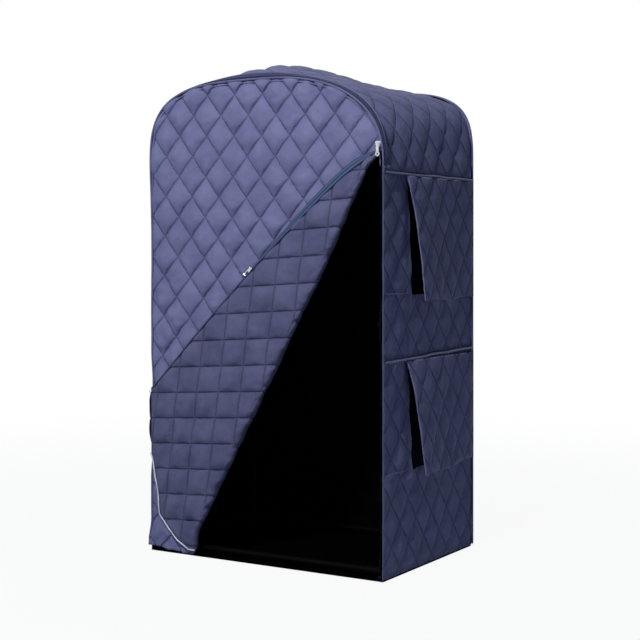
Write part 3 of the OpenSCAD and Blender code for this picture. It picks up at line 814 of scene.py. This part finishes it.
from_edge = np.minimum(door_x - door_left, right_arch - door_x)
from_edge = np.minimum(from_edge, EAVE + ARCH_RISE - door_z)
tight = ramp(from_edge, -0.004, 0.041)
pillows = quilt(door_u, door_v, DOOR_PUFF) * (0.2 + 0.8 * tight)
crumpled = ramp(door_x, -0.26, -0.42) * ramp(door_z, 1.25, 0.85) + 0.25
creases = 0.0050 * tight * crumpled * wavy(door_x + 0.5 * door_z, door_z - 0.6 * door_x, 0.034, 61)
flared = 0.006 * ramp(door_x, -0.30, -0.50) * ramp(door_z, 0.10, 0.0)
door_y = DOOR_Y + 0.002 - pillows - 0.004 * (1.0 - tight) - creases - flared
lift = corner_lift(door_z) * ramp(door_x, -0.28, -0.50)

door_points = stacked(door_x, door_y, door_z + lift)
door = grid_piece("door_fixed_cloth", door_points, uv_of(door_u, door_v))
dress(door, satin, "quilted_satin", "tent", "door_fixed_panel")
# The door's inner face gets the near-black lining: painted shade of the cabin's inside.
thicken(door, CLOTH_THICKNESS, "lining").material_offset = 1
door.data.materials.append(fabrics["lining"])
door_area = float(0.995 * ARCH_AREA - 0.5 * FLAP_WIDTH * CORNER_Z)

# %% [markdown]
# ## The folded part of the door
# The unzipped corner is turned over the crease, so its reverse shows, and its quilting is the
# mirror image of the front's: diamonds whose one line now runs level and whose other line runs
# nearly upright, like squares. The frame has three joints for it, for the crease, for the
# gathers and for the end that wraps round the tent's left corner, and the cloth is made in three
# pieces that share their edges: a rounded fold, the flap, and its wrapped tip. These pieces are
# not attached to the joints' bodies. Each row of the flap runs level from the crease to the free
# edge, to the corner or to the bottom edge.

# %% Outline of the folded part
CREASE_DEG = np.degrees(np.arctan(CREASE_SLOPE))
GATHER_DEG = joints["door_gather"]["range_deg"][1]
FREE_DEG = 2 * CREASE_DEG - GATHER_DEG
FREE_LENGTH = (CORNER_X + HALF_W) / np.sin(np.radians(FREE_DEG))
EDGE_BOW, BOW_PEAK, EDGE_INSET = 0.037, 0.29, 0.005
CORNER_EDGE = HALF_W - 0.014
HEM_X = np.array([-0.700, -0.486, -0.471, -0.450, -0.442, -0.400, -0.358, -0.300])
HEM_Z = np.array([0.610, 0.372, 0.328, 0.218, 0.146, 0.098, 0.060, 0.030])


def free_edge(r):
    """The zip edge of the flap at distance r from the zip corner. It is bowed up by
    (t / p)^0.5 ((1 - t) / (1 - p))^((1 - p) / 2p), which peaks at p of its length."""
    angle = np.radians(FREE_DEG)
    t = np.clip(r / FREE_LENGTH, 0.0, 1.0)
    fade = (1 - BOW_PEAK) / (2 * BOW_PEAK)
    bow = EDGE_BOW * (t / BOW_PEAK) ** 0.5 * ((1 - t) / (1 - BOW_PEAK)) ** fade
    across = bow - EDGE_INSET
    x = CORNER_X - r * np.sin(angle) - across * np.cos(angle)
    return x, CORNER_Z - r * np.cos(angle) + across * np.sin(angle)


edge_x, edge_z = free_edge(np.linspace(0.02, FREE_LENGTH + 0.30, 400))


def flap_limit(z):
    """How far left the flap's cloth reaches at height z, before it is wrapped round the corner:
    to its free edge or, lower down, to its bottom edge."""
    upper = np.interp(z, edge_z[::-1], edge_x[::-1])
    lower = np.interp(z, HEM_Z[::-1], HEM_X[::-1])
    return np.maximum(upper, lower)


print("free edge at", round(FREE_DEG, 2), "degrees, length", round(FREE_LENGTH, 3))

# %% Surface of the folded part
FLAP_PUFF = 0.0155


def flap_pattern(x, z):
    """Cloth coordinates of the folded flap: undo the gather's turn about the zip corner, then
    mirror the point over the crease line."""
    dx, dz = x - CORNER_X, z - CORNER_Z
    crease, turn = np.radians(CREASE_DEG), np.radians(GATHER_DEG)
    gx = dx * np.cos(turn) + dz * np.sin(turn)
    gz = -dx * np.sin(turn) + dz * np.cos(turn)
    mirrored_x = -gx * np.cos(2 * crease) + gz * np.sin(2 * crease)
    mirrored_z = gx * np.sin(2 * crease) + gz * np.cos(2 * crease)
    return door_pattern(CORNER_X + mirrored_x, CORNER_Z + mirrored_z)


def flap_layer(x, z):
    """Depth of the flap's plain surface: close to the door at the zip corner and at the left
    edge, and further out between, where the fold holds it up."""
    from_corner = np.hypot(CORNER_X - x, CORNER_Z - z)
    out = ramp(from_corner, 0.0, 0.16) * (1.0 - 0.55 * ramp(x, -0.20, -0.48))
    return DOOR_Y - 0.006 + (FOLD_Y + 0.006 - DOOR_Y) * out


def flap_relief(x, z):
    """Quilting of the reverse, with soft folds that run down from the free edge and short
    puckers square to the crease."""
    u, v = flap_pattern(x, z)
    dragged = ramp(x, -0.05, -0.30) * ramp(z, 0.75, 0.50)
    folds = np.sin((x - 0.37 * z) * 2 * np.pi / 0.076 + 2.2 * wavy(x, z, 0.2, 11))
    from_crease = crease_x(z) - x
    pinch = np.exp(-from_crease / 0.030) * wavy(z + 0.5 * x, from_crease, 0.016, 12)
    wrinkles = 0.0030 * pinch + 0.0020 * wavy(x, z, 0.05, 13)
    return quilt(u, v, FLAP_PUFF) + 0.0036 * dragged * folds + wrinkles


print("the folded part is", round(DOOR_Y - FOLD_Y, 4), "in front of the door")

# %% [markdown]
# The flap runs from the crease to its free edge, its bottom edge or the corner, and its placement
# is baked into its mesh.

# %% Flap
on_crease = np.array([float(crease_x(0.7)), FOLD_Y, 0.7])


def follow_flap(piece):
    """Bakes the piece's placement into its mesh."""
    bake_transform(piece)


flap_z = np.linspace(0.030, CORNER_Z - 0.02, 230)[:, None]
share = np.linspace(0.0, 1.0, 100)[None, :]
left, right = np.maximum(flap_limit(flap_z), -CORNER_EDGE), crease_x(flap_z)
flap_x = right + share * (left - right)
from_free_edge = ramp(flap_x, left - 0.0075, left + 0.0225)
flap_y = flap_layer(flap_x, flap_z) - flap_relief(flap_x, flap_z) * from_free_edge
flap_uv = uv_of(*flap_pattern(flap_x, flap_z))
flap = grid_piece("door_flap_cloth", stacked(flap_x, flap_y, flap_z), flap_uv, flip=True)
dress(flap, reverse, "quilted_satin", None, "door_flap_panel")
thicken(flap, CLOTH_THICKNESS)
follow_flap(flap)

# %% [markdown]
# The fold is half a turn of cloth about the crease. Its rows are half circles from the fixed
# part to the flap, and small gathers pinch it along its length.

# %% Fold along the crease
turn = np.linspace(0.0, np.pi, 15)[None, :]
fold_front = flap_y[:, :1]
fold_back = DOOR_Y - 0.002
radius = (fold_back - fold_front) / 2
pleats = 0.07 * np.sin(flap_z * 2 * np.pi / 0.071) + 0.08 * wavy(flap_z, 0 * flap_z, 0.04, 21)
fold_x = crease_x(flap_z) + radius * 0.75 * np.sin(turn) * (1.0 + pleats)
fold_y = (fold_back + fold_front) / 2 + radius * np.cos(turn)
fold_uv = uv_of(*flap_pattern(crease_x(flap_z) + 0 * turn, flap_z))
fold = grid_piece("door_fold_cloth", stacked(fold_x, fold_y, flap_z), fold_uv, flip=True)
dress(fold, reverse, "quilted_satin", None, "door_crease_strip")
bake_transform(fold)

# %% [markdown]
# The tip is the flap's far corner. It turns round the tent's left front edge and lies along
# the left wall: a quarter circle of 6 mm, and then straight on to the tip's own outline.

# %% Tip wrapped round the corner
BEND = 0.006

tip_top = float(np.interp(CORNER_EDGE, -edge_x, edge_z)) - 0.002
tip_z = np.linspace(0.374, tip_top, 60)[:, None]
tip_reach = np.clip(-CORNER_EDGE - flap_limit(tip_z), 0.0, 0.2)
along = np.linspace(0.0, 1.0, 34)[None, :] * tip_reach
turn = np.clip(along / BEND, 0.0, np.pi / 2)
past = np.maximum(along - BEND * np.pi / 2, 0.0)
at_corner = flap_relief(-CORNER_EDGE, tip_z)
ripple = 0.12 * (flap_relief(-CORNER_EDGE - along, tip_z) - at_corner)
tip_x = -CORNER_EDGE - BEND * np.sin(turn) - ripple * np.sin(turn)
corner_y = flap_layer(-CORNER_EDGE, tip_z) - at_corner
tip_y = corner_y + BEND * (1 - np.cos(turn)) + past - ripple * np.cos(turn)
tip_uv = uv_of(*flap_pattern(-CORNER_EDGE - along, tip_z))
tip = grid_piece("door_tip_cloth", stacked(tip_x, tip_y, tip_z), tip_uv, flip=True)
dress(tip, reverse, "quilted_satin", None, "door_flap_tip")
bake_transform(tip)

# %% [markdown]
# ## Edgings
# Piping, seams and bindings are narrow tubes or tapes of cloth carried along an edge. One
# helper carries a round section along a path, with two directions across the path worked out
# at every point. A curve with a bevel could do it too, but a grid gets its UV map and its open
# or closed ends from the same few lines as all the other cloth.

# %% Round edging helper
def edging(name, path, radius, sides=8, flatten=1.0):
    """Point = path + r (cos a * across + f sin a * up), where across and up are square to the
    path; radius may change along it."""
    tangent = np.gradient(path, axis=0)
    tangent /= np.linalg.norm(tangent, axis=1, keepdims=True)
    runs_back = np.abs(tangent[:, 1]).max() >= 0.9
    guide = np.array([1.0, 0.0, 0.0]) if runs_back else np.array([0.0, 1.0, 0.0])
    across = np.cross(tangent, guide)
    across /= np.linalg.norm(across, axis=1, keepdims=True)
    up = np.cross(across, tangent)
    radius = np.broadcast_to(radius, (len(path),)).copy()
    radius[[0, -1]] = 0.0002
    a = np.arange(sides)[None, :, None] * 2 * np.pi / sides
    ring = np.cos(a) * across[:, None] + flatten * np.sin(a) * up[:, None]
    points = path[:, None] + radius[:, None, None] * ring
    steps = np.linalg.norm(np.diff(path, axis=0), axis=1)
    length = np.concatenate([[0.0], np.cumsum(steps)])
    edging_uv = uv_of(a[..., 0] * 0.004, length[:, None])
    return grid_piece(name, points, edging_uv, flip=True, ring=True)


def bead(name, path, radius, *nodes):
    """A round edging of the tent in piping."""
    piece = edging(name, path, radius)
    return dress(piece, fabrics["piping"], "piping", "tent", *nodes)


# %% [markdown]
# The front and rear rims of the cover have a piping. At the front it is much thinner down the
# right leg, where the open door leaves it flat, and a finer seam runs inside it over the top.

# %% Piping round the arches
def arch_path(y, inset, low_left, low_right, step=0.008):
    """Points up the left edge, over the arch and down the right edge at depth y."""
    angles = even_angles(int(ARCH_LENGTH / step))
    x, z = roof(angles, np.full_like(angles, y), inset)
    rise = np.linspace(low_left, EAVE, int((EAVE - low_left) / step))[:-1]
    fall = np.linspace(EAVE, low_right, int((EAVE - low_right) / step) + 1)[1:]
    left, right = np.full_like(rise, -HALF_W + inset), np.full_like(fall, HALF_W - inset)
    x, z = np.concatenate([left, x, right]), np.concatenate([rise, z, fall])
    return stacked(x, y, z)


front_edge = arch_path(-HALF_D - 0.002, 0.002, HEM + 0.03, HEM)
front_edge[:, 0] += 0.0012 * wavy(front_edge[:, 2], front_edge[:, 0], 0.09, 31)
front_edge[:, 0] += drawn_in(front_edge[:, 2]) * (front_edge[:, 0] < 0)
right_leg = ramp(front_edge[:, 2], EAVE + 0.06, EAVE - 0.04) * (front_edge[:, 0] > 0)
bead("front_piping_bead", front_edge, 0.0040 - 0.0026 * right_leg, "front_piping")
bead("front_seam_bead", arch_path(-HALF_D - 0.001, 0.014, EAVE - 0.06, EAVE - 0.01), 0.0020)
bead("rear_piping_bead", arch_path(HALF_D - 0.001, 0.002, HEM, HEM), 0.0045)

# %% [markdown]
# ## The zip band over the roof
# The door's zip runs along the roof's front rim, just behind the piping: a woven tape with the
# zip's coil down its middle. It narrows towards the right shoulder, where the slider hangs. The
# tape is a thin strip that follows the roof, and the coil is a ridge with a small bump for
# every tooth.

# %% Zip band
BAND_FRONT = -HALF_D + 0.004
SHOULDER_DEG = 1.5


def zip_coil(share, middle, width, rows, rows_per_tooth):
    """A ridge along a tape, as a bell across it, which rises and falls between 0.6 and 1 of its
    height for every tooth."""
    tooth = 0.5 + 0.5 * np.sin(np.arange(rows) * 2 * np.pi / rows_per_tooth)[:, None]
    return bell(share, middle, width) * (0.6 + 0.4 * tooth)


def widening(angle):
    """How much wider the band is than at the right shoulder: 19 mm more past 47 degrees."""
    return 0.019 * ramp(angle, 2.0, 47.0)


band_angle = even_angles(1400)
band_angle = band_angle[band_angle > SHOULDER_DEG][:, None]
share = np.linspace(0.0, 1.0, 13)[None, :]
band_y = BAND_FRONT + share * (0.007 + widening(band_angle))
band_x, band_z = roof(band_angle, band_y)
band_base = stacked(band_x, band_y, band_z)
coil = zip_coil(share, 0.5, np.sqrt(3.0) / 13, len(band_angle), 3.5)
rim = ramp(share, 0.0, 0.08) * ramp(share, 1.0, 0.92)
raised = 0.0005 + rim * (0.0042 + 0.0022 * coil)
band_points = band_base + normals(band_base) * raised[..., None]
band_uv = uv_of(share, np.arange(len(band_angle))[:, None] * 0.001)
band = grid_piece("roof_zip_band", band_points, band_uv, flip=True)
dress(band, fabrics["zip_band"], "zip_tape", "tent", "door_zip_band")

seam_angle = even_angles(200)
seam_angle = seam_angle[seam_angle > SHOULDER_DEG]
seam_y = BAND_FRONT + 0.009 + widening(seam_angle)
seam_x, seam_z = roof(seam_angle, seam_y, -0.004)
bead("roof_rim_seam", stacked(seam_x, seam_y, seam_z), 0.0026)

# %% [markdown]
# ## Edges of the flap
# The free edge carries the door's other zip tape. It stands out past the cloth near the zip
# corner and then turns under, so it narrows towards the left. The flap's bottom edge is bound
# with a white tape.

# %% Tape of the free edge
tape_r = np.linspace(0.015, FREE_LENGTH * 0.985, 420)
tape_x, tape_z = free_edge(tape_r)
along_x, along_z = np.gradient(tape_x), np.gradient(tape_z)
length = np.hypot(along_x, along_z)
out_x, out_z = along_z / length, -along_x / length
out_x, out_z = np.where(out_z < 0, -out_x, out_x)[:, None], np.abs(out_z)[:, None]
width = 0.0075 + 0.018 * ramp(tape_r, 0.73, 0.25) * ramp(tape_r, 0.0, 0.10)
share = np.linspace(0.0, 1.0, 9)[None, :]
across = (share - 0.30) * width[:, None]
coil = zip_coil(share, 0.42, np.sqrt(2.0) / 9, len(tape_r), 3.0)
tape_y = flap_layer(tape_x, tape_z)[:, None] - 0.0062 - 0.0018 * coil + 0.006 * share**2
tape_points = stacked(tape_x[:, None] + across * out_x, tape_y, tape_z[:, None] + across * out_z)
edge_tape = grid_piece("flap_zip_tape", tape_points, uv_of(share, tape_r[:, None]))
dress(edge_tape, fabrics["zip_tape"], "zip_tape", None, "door_flap_tape")
thicken(edge_tape, 0.0012, "tape thickness")
follow_flap(edge_tape)

# %% Binding of the bottom edge
LEVEL_POINTS = 10

hem_z = np.linspace(0.030, 0.372, 120)
hem_z = np.concatenate([np.full(LEVEL_POINTS, hem_z[0]), hem_z[1:]])
hem_x = np.interp(hem_z, HEM_Z[::-1], HEM_X[::-1]) + 0.0022 * wavy(hem_z, 0 * hem_z, 0.035, 32)
hem_x[:LEVEL_POINTS] = np.linspace(-0.272, hem_x[LEVEL_POINTS - 1], LEVEL_POINTS)
hem_path = stacked(hem_x, flap_layer(hem_x, hem_z) - 0.0055, hem_z)
flap_hem = edging("flap_hem_binding", hem_path, 0.0030, flatten=0.6)
dress(flap_hem, fabrics["white_edge"], "white_edge", None)
follow_flap(flap_hem)

# %% [markdown]
# ## Side flaps
# Each arm opening is covered by a flap that hangs from a piped seam. Its front edge stands off
# the wall, most of all near the bottom, and its rear edge lies close. The surface is the wall
# plane plus that stand-off, and the quilting is added on top.

# %% Side flaps
SIDE_FLAP_PUFF = 0.0065
SIDE_ORIGIN_Z = 0.02


def side_flap(name, node, body, top_z, bottom_z, seed):
    """x = wall + gap; the gap grows as b^0.65 (1 - a)^1.7, with a from the front edge to the
    rear and b from the top down. The front edge starts 20 mm further forward and leans to the
    rear as b^0.7, to 24 mm."""
    front_y, rear_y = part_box(node)[0][1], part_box(node)[1][1]
    a = np.linspace(0.0, 1.0, 72)[None, :]
    b = np.linspace(0.0, 1.0, 64)[:, None]
    front = front_y - 0.020 * (1 - b) ** 3 + 0.024 * b**0.7
    y = front + a * (rear_y - front)
    z = top_z - b * (top_z - bottom_z) + 0.005 * np.sin(9 * a) * b
    loose = 0.008 + 0.003 * wavy(y, z, 0.11, seed)
    gap = 0.0050 + 0.045 * b**0.65 * (1 - a) ** 1.7 + loose * b * (1 - a)
    u, v = y + SIDE_ORIGIN_Y, z + SIDE_ORIGIN_Z
    rim = ramp(a, -0.012, 0.048) * ramp(a, 1.0, 0.92) * ramp(b, 1.007, 0.937)
    x = HALF_W + gap + quilt(u, v, SIDE_FLAP_PUFF) * rim
    piece = grid_piece(name, stacked(x, y, z), uv_of(u, v), flip=True)
    dress(piece, satin, "quilted_satin", body, node)
    thicken(piece, 0.0030)


side_flap("upper_arm_flap", "upper_side_flap", "upper_flap", 1.386, 0.948, 41)
side_flap("lower_arm_flap", "lower_side_flap", "lower_flap", 0.742, 0.337, 42)

# %% Seams of the right wall
WALL_FRONT, WALL_REAR, PLACKET_REAR = -0.345, 0.347, -0.170


def wall_seam(name, z_front, z_rear, y_rear, radius, *nodes):
    """A sewn bead along the right wall, a little uneven as hand-fed piping is."""
    y = np.linspace(WALL_FRONT, y_rear, 90)
    share = (y - WALL_FRONT) / (y_rear - WALL_FRONT)
    z = z_front + (z_rear - z_front) * share + 0.0015 * wavy(y, 0 * y, 0.06, 51)
    bead(name, stacked(HALF_W + 0.002 + radius / 2, y, z), radius, *nodes)


wall_seam("upper_seam_bead", 1.391, 1.391, WALL_REAR, 0.0046, "upper_flap_seam")
wall_seam("lower_seam_bead", 0.744, 0.757, WALL_REAR, 0.0042, "lower_flap_seam")
wall_seam("upper_placket_seam", 0.977, 0.977, PLACKET_REAR, 0.0016)
wall_seam("lower_placket_seam", 0.362, 0.362, PLACKET_REAR, 0.0016)

# %% [markdown]
# ## Room and light
# A pale floor and a white surrounding show the tent as it is. Both are white only where they
# are seen, directly or in a reflection, and the light that they send to the tent is modest. A
# small strong lamp in front and above lights the door, and a weak one on the left softens its
# shadows. A third lights the rear. The right wall gets little more than what the floor and the
# surroundings send back. A brighter world would give the same white background, but it would
# wash out the quilting.

# %% Floor
FLOOR_HALF = 30.0
FLOOR_TINT = (0.44, 0.48, 0.54, 1.0)
WHITE = (1.0, 1.0, 1.0, 1.0)

floor_sides = ((-1, -1), (1, -1), (1, 1), (-1, 1))
floor_corners = [(x * FLOOR_HALF, y * FLOOR_HALF, 0.0) for x, y in floor_sides]
floor_mesh = bpy.data.meshes.new("floor")
floor_mesh.from_pydata(floor_corners, [], [(0, 1, 2, 3)])
floor = bpy.data.objects.new("floor", floor_mesh)
bpy.context.scene.collection.objects.link(floor)
floor.location.z = -0.0005

ground = Finish("floor")
ground.set(Base_Color=FLOOR_TINT, Roughness=0.9, Specular_IOR_Level=0.1)
glow = ground.node("ShaderNodeEmission", {}, {"Color": WHITE, "Strength": 1.0})
place = ground.node("ShaderNodeTexCoord").outputs["Object"]
distance = ground.node("ShaderNodeVectorMath", {"operation": "LENGTH"}, [place]).outputs[1]
whiteness = ground.seen() * (Socket(ground, distance).ramp(1.4, 5.0) * 0.07 + 0.93)
layers = [whiteness, ground.shader.outputs[0], glow.outputs[0]]
shown = ground.node("ShaderNodeMixShader", {}, layers)
ground.feed(ground.tree.nodes["Material Output"].inputs[0], shown.outputs[0])
floor.data.materials.append(ground.material)
print("floor", 2 * FLOOR_HALF, "wide")

# %% Surroundings
world = bpy.data.worlds.new("surroundings")
bpy.context.scene.world = world
world.use_nodes = True
world.node_tree.nodes.clear()
sky = Nodes(world.node_tree)
dim = sky.node("ShaderNodeBackground", {}, {"Color": (0.50, 0.70, 1.0, 1.0), "Strength": 0.09})
white = sky.node("ShaderNodeBackground", {}, {"Color": WHITE, "Strength": 1.0})
chosen = sky.node("ShaderNodeMixShader", {}, [sky.seen(), dim.outputs[0], white.outputs[0]])
sky.node("ShaderNodeOutputWorld", {}, [chosen.outputs[0]])
print("surroundings set")

# %% Lamps
def lamp(name, place, aim, size, watts):
    """A square soft lamp at place, turned towards aim: yaw from the aim's direction on the
    floor, pitch from its fall."""
    data = bpy.data.lights.new(name, "AREA")
    data.size = size
    data.energy = watts
    piece = bpy.data.objects.new(name, data)
    x, y, z = np.array(aim) - np.array(place)
    piece.location = place
    piece.rotation_euler = (np.arctan2(np.hypot(x, y), -z), 0.0, np.arctan2(-x, y))
    bpy.context.scene.collection.objects.link(piece)


lamp("key", (0.6, -4.1, 4.3), (0.0, -0.3, 0.9), 0.6, 232.0)
lamp("fill", (-4.5, -3.0, 1.6), (0.0, 0.0, 1.0), 3.0, 14.0)
lamp("back", (-1.6, 4.6, 1.9), (0.0, 0.3, 0.9), 1.5, 80.0)
bpy.context.scene.view_settings.view_transform = "Standard"
print("lamps set")
